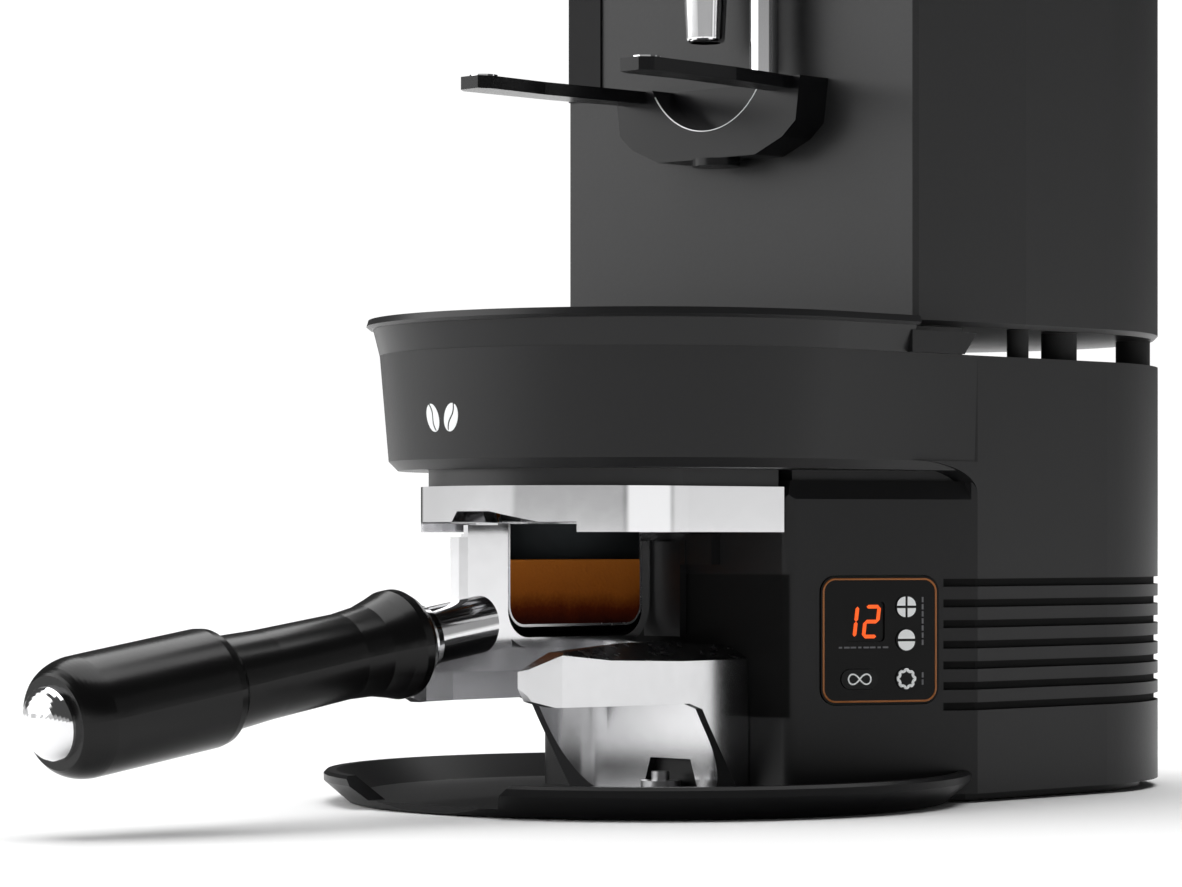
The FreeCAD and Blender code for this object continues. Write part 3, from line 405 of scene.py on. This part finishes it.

# %% [markdown]
# ## Pressed coffee
# The puck shows its cut face. Pressed coffee is a mass of grains, and here its colour is lighter
# at the top and darker towards the bottom. Height is read from Object coordinates, because the
# piece stands where the CAD has it.

# %% The coffee finish
puck_low, puck_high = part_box("coffee_puck")
ground = Finish("ground_coffee", (0.15, 0.05, 0.01), 0.85, Specular_IOR_Level=0.08)
height, = ground.axes("Z")
climb = (height - puck_low[2]) / (puck_high[2] - puck_low[2])
patches = ground.noise(0.012, 2.0, (1.0, 1.0, 0.5))
grains = ground.noise(0.0012, 3.0)
tone = (climb + 0.30 * (patches - 0.5) + 0.14 * (grains - 0.5)).at_least(0.0).at_most(1.0)
ground.set("Base Color", ground.node(
    "ShaderNodeValToRGB",
    {"stops": [(0.0, (0.030, 0.003, 0.001)), (0.22, (0.090, 0.012, 0.001)),
               (0.50, (0.290, 0.080, 0.008)), (1.0, (0.370, 0.112, 0.014))]},
    {"Fac": tone}))
ground.bump(grains, 0.0004, 0.8)
print("puck from", round(puck_low[2] / MM, 1), "to", round(puck_high[2] / MM, 1), "mm")

# %% [markdown]
# ## Dress the CAD nodes
# Each CAD piece keeps its mesh and gets its finish. One table from finish to pieces is easier to
# read and to change than fifty assignments.

# %% Which piece wears which finish
wears = {
    casing_black: ["housing"],
    tower_black: ["tower_shell"],
    tray_black: ["collecting_tray"],
    dish_black: ["base_plate"],
    plain_black: ["neck_ring", "rear_stop", "sensor_lever", "tower_plinth", "mains_inlet",
                  "switch_frame", "motor_stand", "supply_components", "grind_collar",
                  "hopper_lid", "piston", "power_rocker"],
    fork_black: ["fork", "fork_knob"],
    trim_black: ["tower_trim"],
    foot_rubber: ["rubber_feet", "tower_feet"],
    chrome: ["guide_ring", "ferrule", "grip_end_cap", "fork_tips", "guide_post", "spout"],
    casting: ["support_bracket", "burr_chamber", "throat"],
    bowl_metal: ["portafilter_bowl"],
    basket_finish.material: ["basket"],
    steel: ["lever_pin", "bracket_screw", "tie_rod", "piston_rod", "motor_pinion", "idler_axle",
            "gear_plate", "nut_retainer", "motor", "gearbox", "lower_burr", "burr_shaft",
            "upper_burr", "grinder_motor"],
    brass: ["nut_gear", "idler_gear"],
    grip_skin.material: ["grip"],
    panel_gloss.material: ["control_panel", "display_module"],
    key_skin.material: ["button_plus", "button_minus", "button_settings", "button_loop"],
    circuit.material: ["control_board", "power_supply"],
    smoke.material: ["hopper"],
    ground.material: ["coffee_puck"],
}
dressed = 0
for finish, names in wears.items():
    for name in names:
        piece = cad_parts[name]
        for material_slot in piece.material_slots:
            material_slot.material = finish
        dressed += 1
print("dressed", dressed, "of", len(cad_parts))

# %% [markdown]
# ## Places on the control panel
# The panel lies on a slanted face of the casing. It gets its own frame there: run goes along the
# face, up is straight up, and out leaves the face square to it. The details are then placed
# with these three and don't need the casing's own axes.

# %% The panel's own frame
panel_low, panel_high = (np.array(v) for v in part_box("control_panel"))
panel_size = panel_high[2] - panel_low[2]
panel_mid = (panel_low + panel_high) / 2
panel_run = np.array([math.cos(slant), math.sin(slant), 0.0])
panel_out = np.array([math.sin(slant), -math.cos(slant), 0.0])
panel_up = np.array([0.0, 0.0, 1.0])
PANEL_THICK = 2.0 * MM
panel_face = panel_mid + panel_out * PANEL_THICK / 2
print("panel", panel_size, "face at", panel_face)


def on_panel(run, up, out):
    """Points on the panel from arrays of run, up and out, in metres."""
    run, up, out = (np.asarray(v, float)[..., None] for v in (run, up, out))
    return panel_face + run * panel_run + up * panel_up + out * panel_out


# %% [markdown]
# ## One way to make every new mesh
# A new piece is an array of points worked out by numpy. `grid_faces` joins a grid of points with
# four-sided faces, and can close it along either direction. `prism_piece` gives flat outlines a
# thickness, for print and plates. `tube_piece` carries a ring along a path, for lines and rims.


# %% From a grid of points to a mesh
def mesh_piece(name, points, faces, finish, body):
    """A mesh object with one finish, which moves with a body."""
    mesh = bpy.data.meshes.new(name)
    mesh.from_pydata(points.reshape(-1, 3).tolist(), [], faces)
    mesh.validate()
    piece = bpy.data.objects.new(name, mesh)
    scene.collection.objects.link(piece)
    mesh.materials.append(finish)
    mesh.shade_smooth()
    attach(piece, body)
    return piece


def grid_faces(rows, columns, closed_rows, closed_columns):
    """Four-sided faces of a rows by columns grid: each point with its next row and column."""
    r = np.arange(rows if closed_rows else rows - 1)
    c = np.arange(columns if closed_columns else columns - 1)
    r, c = (v.ravel() for v in np.meshgrid(r, c, indexing="ij"))
    r2 = (r + 1) % rows
    c2 = (c + 1) % columns
    quads = np.stack([r * columns + c, r * columns + c2, r2 * columns + c2, r2 * columns + c], 1)
    return quads.tolist()


def prism_piece(name, outlines, low, high, place, finish, body):
    """Flat plates over closed outlines: each is an (n, 2) array, set at heights low and high."""
    points = []
    faces = []
    for outline in outlines:
        count = len(outline)
        first = sum(len(p) for p in points)
        for level in (low, high):
            points.append(place(outline[:, 0], outline[:, 1], np.full(count, level)))
        around = np.arange(count)
        after = (around + 1) % count
        sides = np.stack([around, after, after + count, around + count], 1) + first
        faces += sides.tolist()
        faces.append((np.arange(count)[::-1] + first).tolist())
        faces.append((np.arange(count) + count + first).tolist())
    piece = mesh_piece(name, np.concatenate(points), faces, finish, body)
    piece.data.shade_flat()
    return piece


def tube_piece(name, path, radius, finish, body, face=None, sides=10, closed=True):
    """A round tube along an (n, 3) path in the plane square to face.

    Each point of the path gets a ring: its centre, plus radius times the cosine of the turn
    across the path and the sine along face.
    """
    face = panel_out if face is None else face
    ahead = np.roll(path, -1, 0) - np.roll(path, 1, 0)
    if not closed:
        ahead[0] = path[1] - path[0]
        ahead[-1] = path[-1] - path[-2]
    ahead /= np.linalg.norm(ahead, axis=1)[:, None]
    across = np.cross(ahead, face)
    across /= np.linalg.norm(across, axis=1)[:, None]
    lift = np.cross(across, ahead)
    turn = np.linspace(0, 2 * math.pi, sides, endpoint=False)
    ring = (across[:, None] * np.cos(turn)[:, None] + lift[:, None] * np.sin(turn)[:, None])
    points = path[:, None] + radius * ring
    faces = grid_faces(len(path), sides, closed, True)
    return mesh_piece(name, points, faces, finish, body)


# %% [markdown]
# ## The copper outline
# A thin copper line runs round the panel near its edge. It is a round-cornered square: a circle
# for the corners, whose four quarters are pushed apart along both directions.

# %% The outline's path
BASE = "base_unit"
OUTLINE_INSET = 0.9 * MM
OUTLINE_R = 0.32 * MM
turn = np.linspace(0, 2 * math.pi, 96, endpoint=False)
half = panel_size / 2 - OUTLINE_INSET
corner = 4.2 * MM
reach = half - corner
run_line = np.clip(np.cos(turn) * 1e3, -1, 1) * reach + corner * np.cos(turn)
up_line = np.clip(np.sin(turn) * 1e3, -1, 1) * reach + corner * np.sin(turn)
outline_path = on_panel(run_line, up_line, np.full(turn.shape, 0.02 * MM))
tube_piece("panel_outline", outline_path, OUTLINE_R, outline_copper.material, BASE)
print("outline half width", round(half / MM, 2), "mm")

# %% [markdown]
# ## The display's digits
# The display shows a number in seven-segment strokes, leaning a little. Each stroke is a bar
# with pointed ends, and a digit is the list of its lit bars.

# %% Sizes of the digits
STROKE_WIDE = 1.25 * MM
DIGIT_WIDE = 4.6 * MM
DIGIT_HIGH = 10.0 * MM
FIRST_DIGIT = -5.0 * MM     # places along the panel from the display's middle
SECOND_DIGIT = 2.6 * MM
RECESS = -0.8 * MM          # the digits lie below the panel's face
LIT_THICK = 0.2 * MM


# %% Strokes and digits
def stroke(x0, y0, x1, y1, wide):
    """A bar with pointed ends from (x0, y0) to (x1, y1)."""
    a = np.array([x0, y0])
    b = np.array([x1, y1])
    ahead = (b - a) / np.linalg.norm(b - a)
    side = np.array([-ahead[1], ahead[0]]) * wide / 2
    step = ahead * wide / 2
    return np.array([a, a + step + side, b - step + side, b, b - step - side, a + step - side])


def digit(shape, x, y, lean=0.12):
    """The strokes of one seven-segment digit; the letters name the lit bars."""
    w, h = DIGIT_WIDE / 2, DIGIT_HIGH / 2
    bars = {"a": (-w, h, w, h), "b": (w, h, w, 0), "c": (w, 0, w, -h), "d": (-w, -h, w, -h),
            "e": (-w, 0, -w, -h), "f": (-w, h, -w, 0), "g": (-w, 0, w, 0)}
    made = []
    for bar in shape:
        outline = stroke(*bars[bar], STROKE_WIDE) * 0.96
        outline[:, 0] += lean * outline[:, 1] + x
        outline[:, 1] += y
        made.append(outline)
    return made


display_low, display_high = (np.array(v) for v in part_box("display_module"))
display_mid = (display_low + display_high) / 2 - panel_face
display_run = float(display_mid @ panel_run)
display_up = float(display_mid @ panel_up)
strokes = digit("bc", display_run + FIRST_DIGIT, display_up)
strokes += digit("abged", display_run + SECOND_DIGIT, display_up)
prism_piece("display_digits", strokes, RECESS, RECESS + LIT_THICK, on_panel,
            digit_glow.material, BASE)
print("strokes lit:", len(strokes))

# %% [markdown]
# ## The keys' signs
# Each key carries a plain printed sign: plus, minus, a toothed wheel and a loop. Plus and minus
# are a pale disc split into quarters or halves. The wheel is a ring whose radius swells eight
# times in a turn, and the loop is a lying figure of eight.

# %% Sizes of the signs
KEY_TOP = 0.5 * MM       # height of the keys' caps over the panel
INK = 0.12 * MM
DISC_R = 3.2 * MM
DISC_GAP = 0.9 * MM
WHEEL_R = 2.95 * MM
WHEEL_TOOTH = 0.24 * MM
WHEEL_LINE = 0.46 * MM
LOOP_REACH = 3.9 * MM
LOOP_RISE = 4.6 * MM
LOOP_LINE = 0.26 * MM


# %% The signs
def key_place(node):
    """Where a key stands on the panel: run and up of the middle of its box."""
    low, high = (np.array(v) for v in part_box(node))
    middle = (low + high) / 2 - panel_face
    return float(middle @ panel_run), float(middle @ panel_up)


def disc_parts(x, y, r, gap, parts):
    """A disc split into equal parts: each is a wedge, moved out along its middle."""
    made = []
    span = 2 * math.pi / parts
    for i in range(parts):
        angles = np.linspace(0, span, 14) + i * span
        middle = (i + 0.5) * span
        shift = gap / (2 * math.sin(span / 2))
        ring = np.stack([r * np.cos(angles), r * np.sin(angles)], 1)
        wedge = np.concatenate([[(0.0, 0.0)], ring])
        wedge += shift * np.array([math.cos(middle), math.sin(middle)])
        keep = wedge * min(1.0, (r - shift / 2) / r)
        made.append(keep + np.array([x, y]))
    return made


plus_x, plus_y = key_place("button_plus")
minus_x, minus_y = key_place("button_minus")
wheel_x, wheel_y = key_place("button_settings")
loop_x, loop_y = key_place("button_loop")
prism_piece("sign_plus", disc_parts(plus_x, plus_y, DISC_R, DISC_GAP, 4), KEY_TOP,
            KEY_TOP + INK, on_panel, sign_grey.material, "button_plus")
prism_piece("sign_minus", disc_parts(minus_x, minus_y, DISC_R, DISC_GAP, 2), KEY_TOP,
            KEY_TOP + INK, on_panel, sign_grey.material, "button_minus")
turn = np.linspace(0, 2 * math.pi, 128, endpoint=False)
teeth = WHEEL_R + WHEEL_TOOTH * np.tanh(3 * np.cos(8 * turn))
wheel = on_panel(wheel_x + 0.93 * teeth * np.cos(turn), wheel_y + 0.93 * teeth * np.sin(turn),
                 np.full(turn.shape, KEY_TOP))
tube_piece("sign_wheel", wheel, WHEEL_LINE, sign_grey.material, "button_settings")
pinch = 1 + np.sin(turn) ** 2
eight = on_panel(loop_x + LOOP_REACH * np.cos(turn) / pinch,
                 loop_y + LOOP_RISE * np.sin(turn) * np.cos(turn) / pinch,
                 np.full(turn.shape, KEY_TOP))
tube_piece("sign_loop", eight, LOOP_LINE, sign_grey.material, "button_loop")
print("wheel sign radius", round(float(teeth.max()) / MM, 2), "mm")

# %% [markdown]
# ## Small plain marks
# A panel like this carries small lettering beside its keys. Plain dim dashes stand for it: one
# row under the display, and one column at the right of the keys.

# %% Sizes of the dashes
DASH_HIGH = 0.55 * MM
DASH_STEP = 2.25 * MM
ROW_DROP = 8.3 * MM        # the row's distance below the display's middle
BAR_WIDE = 0.6 * MM
BAR_HIGH = 1.7 * MM
BAR_STEP = 2.3 * MM
COLUMN_OUT = 5.9 * MM      # the column's distance from the keys


# %% The dashes
def box_outline(x, y, wide, high):
    """The corners of a rectangle round (x, y)."""
    return np.array([(x - wide / 2, y - high / 2), (x + wide / 2, y - high / 2),
                     (x + wide / 2, y + high / 2), (x - wide / 2, y + high / 2)])


dim_grey = Finish("dim_print", (0.16, 0.16, 0.17), 0.5)
dim_grey.set("Roughness", 0.45 + 0.1 * dim_grey.noise(0.001, 2.0))
column_x = plus_x + COLUMN_OUT
dashes = [box_outline(loop_x + (i - 2.9) * DASH_STEP, display_up - ROW_DROP,
                      (1.9 if i % 3 else 1.1) * MM, DASH_HIGH) for i in range(8)]
dashes += [box_outline(column_x, plus_y + (1.0 - i) * BAR_STEP, BAR_WIDE, BAR_HIGH)
           for i in range(7)]
dashes += [box_outline(column_x, wheel_y + (i - 0.5) * BAR_STEP, BAR_WIDE, BAR_HIGH)
           for i in range(2)]
prism_piece("panel_marks", dashes, 0.0, INK, on_panel, dim_grey.material, BASE)
print("dashes:", len(dashes))

# %% [markdown]
# ## A plain sign on the head
# The head's front carries a printed sign. Two plain coffee beans stand for it here, each split
# by a wavy line, and wrapped on the head. The head is slightly conical, so its radius is read
# from its mesh at two heights.

# %% The head's radius
HEAD_MIDDLE = 29.0 * MM
FRONT_HALF = 4 * MM                     # half the strip of the head's front that is read
HIGH_FROM = 140 * MM
LOW_FROM, LOW_TO = 110 * MM, 112 * MM
head = np.array([v.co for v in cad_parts["housing"].data.vertices])
forward = head[(np.abs(head[:, 0]) < FRONT_HALF) & (head[:, 1] < 0)]
high_ring = forward[forward[:, 2] > HIGH_FROM]
low_ring = forward[(forward[:, 2] > LOW_FROM) & (forward[:, 2] < LOW_TO)]
high_r = HEAD_MIDDLE - high_ring[:, 1].min()
low_r = HEAD_MIDDLE - low_ring[:, 1].min()
high_z, low_z = high_ring[:, 2].max(), low_ring[:, 2].mean()
SIGN_X, SIGN_Z = -5.0 * MM, 124.0 * MM
BEAN_WIDE, BEAN_HIGH = 3.1 * MM, 4.6 * MM
print("head radius", low_r, high_r)


# %% Two beans
def on_head(run, up, out):
    """Points on the head: run is an arc round it, up a height, and out leaves its surface."""
    run, up, out = (np.asarray(v, float) for v in (run, up, out))
    z = SIGN_Z + up
    r = low_r + (high_r - low_r) * (z - low_z) / (high_z - low_z) + out
    angle = (SIGN_X + run) / r
    return np.stack([r * np.sin(angle), HEAD_MIDDLE - r * np.cos(angle), z], -1)


def bean_half(x, y, side, wide, high, lean):
    """One half of a bean: an elliptic arc, and back along a wavy middle line."""
    t = np.linspace(-math.pi / 2, math.pi / 2, 26)
    arc = np.stack([side * wide * np.cos(t), high * np.sin(t)], 1)
    v = np.linspace(1, -1, 26)
    wave = np.stack([0.16 * wide * np.sin(math.pi * v) + side * 0.10 * wide,
                     high * v * 0.97], 1)
    shape = np.concatenate([arc[:-1], wave[:-1]])
    turned = np.stack([shape[:, 0] * math.cos(lean) - shape[:, 1] * math.sin(lean),
                       shape[:, 0] * math.sin(lean) + shape[:, 1] * math.cos(lean)], 1)
    return turned + np.array([x, y])


halves = [bean_half(x, 0.0, side, BEAN_WIDE, BEAN_HIGH, lean)
          for x, lean in ((-5.6 * MM, 0.35), (3.4 * MM, -0.35)) for side in (-1, 1)]
# the beans wear the sign finish, so this print carries a faint painted glow
prism_piece("head_sign", halves, -0.3 * MM, 0.08 * MM, on_head, sign_grey.material, BASE)
print("bean halves:", len(halves))

# %% [markdown]
# ## The bright edge of the fork's trough
# The front edge of the fork's trough shows a thin highlight, and a thin steel line stands for it
# as a painted highlight.
# The trough is a round arc below the prongs, so its centre follows from its radius and its
# lowest line.

# %% The arc of the trough
TROUGH_R = 27.6 * MM
TROUGH_LOW = 13.3 * MM      # its lowest line below the prongs' middle
PRONG_HALF = 2.1 * MM       # from the prongs' middle to the fork's top
TROUGH_FRONT = 14.0 * MM    # its front edge, forward of the fork's back
EDGE_R = 0.22 * MM
fork_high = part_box("fork")[1]
trough_z = fork_high[2] - PRONG_HALF - TROUGH_LOW + TROUGH_R
t = np.radians(np.linspace(-148, -32, 60))
edge_path = np.stack([TROUGH_R * np.cos(t), np.full(t.shape, fork_high[1] - TROUGH_FRONT),
                      trough_z + TROUGH_R * np.sin(t)], 1)
# painted highlight: a bright steel line along the trough's front edge
tube_piece("trough_edge", edge_path, EDGE_R, steel, "fork",
           face=np.array([0.0, 1.0, 0.0]), closed=False)
print("trough centre at height", round(trough_z / MM, 1), "mm")

# %% [markdown]
# ## The studio
# Black machines are easiest to read on white. The floor is a wide pale sheet under one broad
# overhead light. It isn't part of the object, so it is only staged.

# %% Floor
FLOOR_HALF = 30.0
floor_mesh = bpy.data.meshes.new("floor")
floor_mesh.from_pydata([(-FLOOR_HALF, -FLOOR_HALF, 0), (FLOOR_HALF, -FLOOR_HALF, 0),
                        (FLOOR_HALF, FLOOR_HALF, 0), (-FLOOR_HALF, FLOOR_HALF, 0)],
                       [], [(0, 1, 2, 3)])
floor = bpy.data.objects.new("floor", floor_mesh)
scene.collection.objects.link(floor)
floor_white = Finish("floor_white", (0.93, 0.93, 0.93), 0.7)
floor_white.set("Roughness", 0.65 + 0.1 * floor_white.noise(0.5, 1.0))
floor_mesh.materials.append(floor_white.material)
print("floor", 2 * FLOOR_HALF, "m wide")

# %% [markdown]
# ## Lit panels round the machine
# Round the machine stand lit panels: a large one at the front left for the tower's front, dim
# ones near the floor behind the camera, and brighter strips at the right. The black coat turns
# them into long quiet highlights, and the chrome mirrors them as bands. The panels are windows
# in the sky: `share` is the way round, and `up` the height. The camera itself sees plain white.

# %% Sky: a dim room with lit panels
ROOM_LEVEL = 0.07
WHITE_LEVEL = 1.05
CAMERA_TURN = math.radians(45.0)
world = bpy.data.worlds.new("studio")
scene.world = world
world.use_nodes = True
sky = Shading(world.node_tree)
background = world.node_tree.nodes["Background"]
direction = sky.node("ShaderNodeTexCoord", output="Generated")
east, north, up = (sky.node("ShaderNodeSeparateXYZ", inputs={0: direction}, output=axis)
                   for axis in "XYZ")
to_camera = math.sin(CAMERA_TURN) * east - math.cos(CAMERA_TURN) * north
to_right = math.cos(CAMERA_TURN) * east + math.sin(CAMERA_TURN) * north
around = sky.node("ShaderNodeMath", {"operation": "ARCTAN2"}, {0: to_right, 1: to_camera})
share = around / (2 * math.pi) + 0.5    # 0.5 is towards the camera, 0.75 to its right

PANELS = [  # share from, to, softness; height from, to, softness; brightness
    (0.19, 0.33, 0.04, 0.10, 0.75, 0.07, 3.0),
    (0.07, 0.35, 0.03, -0.2, 0.05, 0.07, 0.62),
    (0.37, 0.59, 0.02, -0.2, 0.10, 0.1, 0.36),
    (0.612, 0.70, 0.012, -0.2, 0.04, 0.04, 0.95),
    (0.72, 0.77, 0.02, -0.2, 0.04, 0.06, 0.68),
    (0.73, 0.76, 0.03, 0.10, 0.40, 0.10, 0.30),
]
light = ROOM_LEVEL
for left, right, soft, low, high, fade, level in PANELS:
    light = light + level * sky.window(share, left, right, soft) * sky.window(up, low, high, fade)
seen = sky.node("ShaderNodeLightPath", output="Is Camera Ray")
light = light * (1.0 - seen) + WHITE_LEVEL * seen
world.node_tree.links.new(light.socket, background.inputs["Color"])
background.inputs["Strength"].default_value = 1.0
print("lit panels:", len(PANELS))

# %% [markdown]
# ## The overhead light
# A sun lamp lights the whole floor evenly, and its wide angle makes the shadows soft. It leans
# a little, so that they fall to one side.

# %% One wide overhead light
lamp = bpy.data.lights.new("overhead", "SUN")
lamp.energy = 3.2
lamp.angle = math.radians(70)
overhead = bpy.data.objects.new("overhead", lamp)
overhead.rotation_euler = (math.radians(-14), math.radians(-10), 0.0)
overhead.location = (0, 0, 3)
scene.collection.objects.link(overhead)
print("overhead light", lamp.energy)

# %% [markdown]
# ## The camera
# It stands low, 85 mm above the floor, and looks level, turned half a right angle from the
# machine's front. The lens is shifted instead of tilted, so uprights stay upright.

# %% Camera
DISTANCE = 1.311
EYE = 0.0855
LENS_MM, SENSOR_MM = 123.8, 36.0
SHIFT_RIGHT, SHIFT_UP = 0.0127, 0.0816
camera_data = bpy.data.cameras.new("camera")
camera_data.lens = LENS_MM
camera_data.sensor_width = SENSOR_MM
camera_data.shift_x = SHIFT_RIGHT
camera_data.shift_y = SHIFT_UP
camera_data.clip_end = 100.0
camera = bpy.data.objects.new("camera", camera_data)
camera.location = (DISTANCE * math.sin(CAMERA_TURN), -DISTANCE * math.cos(CAMERA_TURN), EYE)
camera.rotation_euler = (math.radians(90), 0.0, CAMERA_TURN)
scene.collection.objects.link(camera)
scene.camera = camera
scene.view_settings.view_transform = "Standard"
scene.view_settings.look = "None"
print("camera", DISTANCE, "m away,", EYE, "m high")
